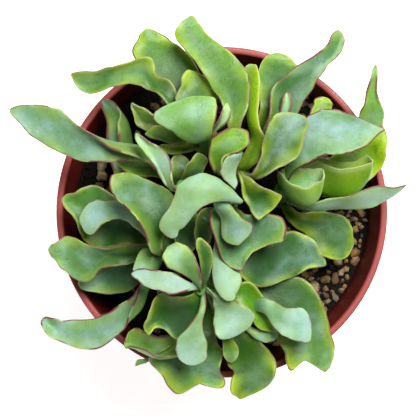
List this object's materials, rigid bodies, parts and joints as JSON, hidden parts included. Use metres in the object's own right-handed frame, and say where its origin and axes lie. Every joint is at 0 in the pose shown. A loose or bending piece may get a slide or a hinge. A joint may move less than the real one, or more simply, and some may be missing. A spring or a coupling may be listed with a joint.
{
  "type": "potted ripple jade",
  "caption": "Round plastic nursery pot of gritty soil with a bushy succulent whose thick, broad leaves have waved, recurved margins.",
  "frame": {"origin": "middle of the pot's flat base, on the surface it stands on", "axes": "+Z up along the pot's axis; +Y is up and +X right in the picture, which looks straight down"},
  "size_m": [0.1248, 0.1204, 0.143],
  "materials": {
    "pot": "satin brick-red moulded plastic",
    "soil": "rough black-brown gritty soil with tan gravel",
    "leaf": "satin green with a pale bloom and thin maroon margins"
  },
  "bodies": {
    "root": {"pot": "pot", "soil": "soil", "leafy_stem_northwest": "leaf", "leafy_stem_north": "leaf", "leafy_stem_east": "leaf", "leafy_stem_centre": "leaf", "leafy_stem_inner_west": "leaf", "leafy_stem_west": "leaf", "leafy_stem_south": "leaf"}
  },
  "joints": []
}
